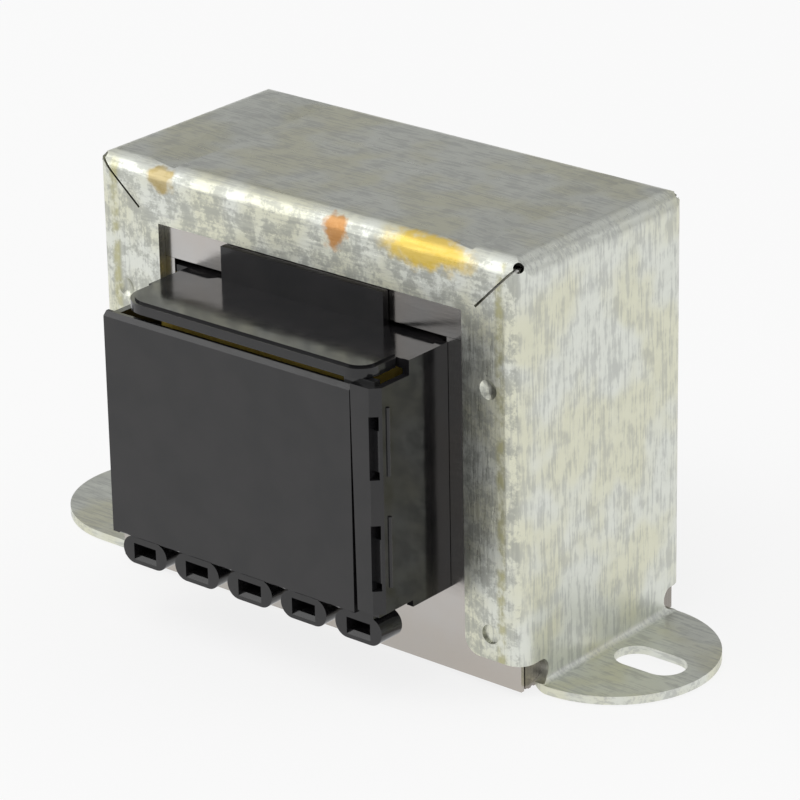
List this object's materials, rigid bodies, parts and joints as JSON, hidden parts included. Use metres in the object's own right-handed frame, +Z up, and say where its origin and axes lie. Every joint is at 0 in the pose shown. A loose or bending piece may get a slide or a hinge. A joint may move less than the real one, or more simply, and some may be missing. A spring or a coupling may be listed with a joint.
{
  "type": "laminated chassis transformer",
  "caption": "Small laminated transformer held in a folded steel channel frame with two slotted feet, with a moulded coil former, folded coil covers and oval solder tag holders.",
  "frame": {"origin": "on the mounting plane, midway between the middles of the two fixing slots", "axes": "+Z up from the mounting plane, X along the line through the two slots and the two feet, -Y towards the side with the bare tag holders, +Y towards the side with the solder tags"},
  "size_m": [0.0922, 0.0573, 0.0516],
  "materials": {
    "zinc_steel": "zinc plated with a thin yellow-green passivation, stained by varnish",
    "core_steel": "varnished electrical steel, brownish at the cut edges",
    "black_moulding": "glossy black moulding under varnish",
    "copper_wire": "enamelled copper wire",
    "film": "polyester tape",
    "tinned_brass": "tinned"
  },
  "bodies": {
    "root": {"channel_frame": "zinc_steel", "e_laminations": "core_steel", "i_laminations": "core_steel", "coil_former": "black_moulding", "primary_winding": "copper_wire", "interwinding_insulation": "film", "secondary_winding": "copper_wire", "outer_tape": "film", "front_cover": "black_moulding", "rear_cover": "black_moulding", "solder_tag_1": "tinned_brass", "solder_tag_2": "tinned_brass", "solder_tag_3": "tinned_brass", "solder_tag_4": "tinned_brass", "solder_tag_5": "tinned_brass"}
  },
  "joints": []
}
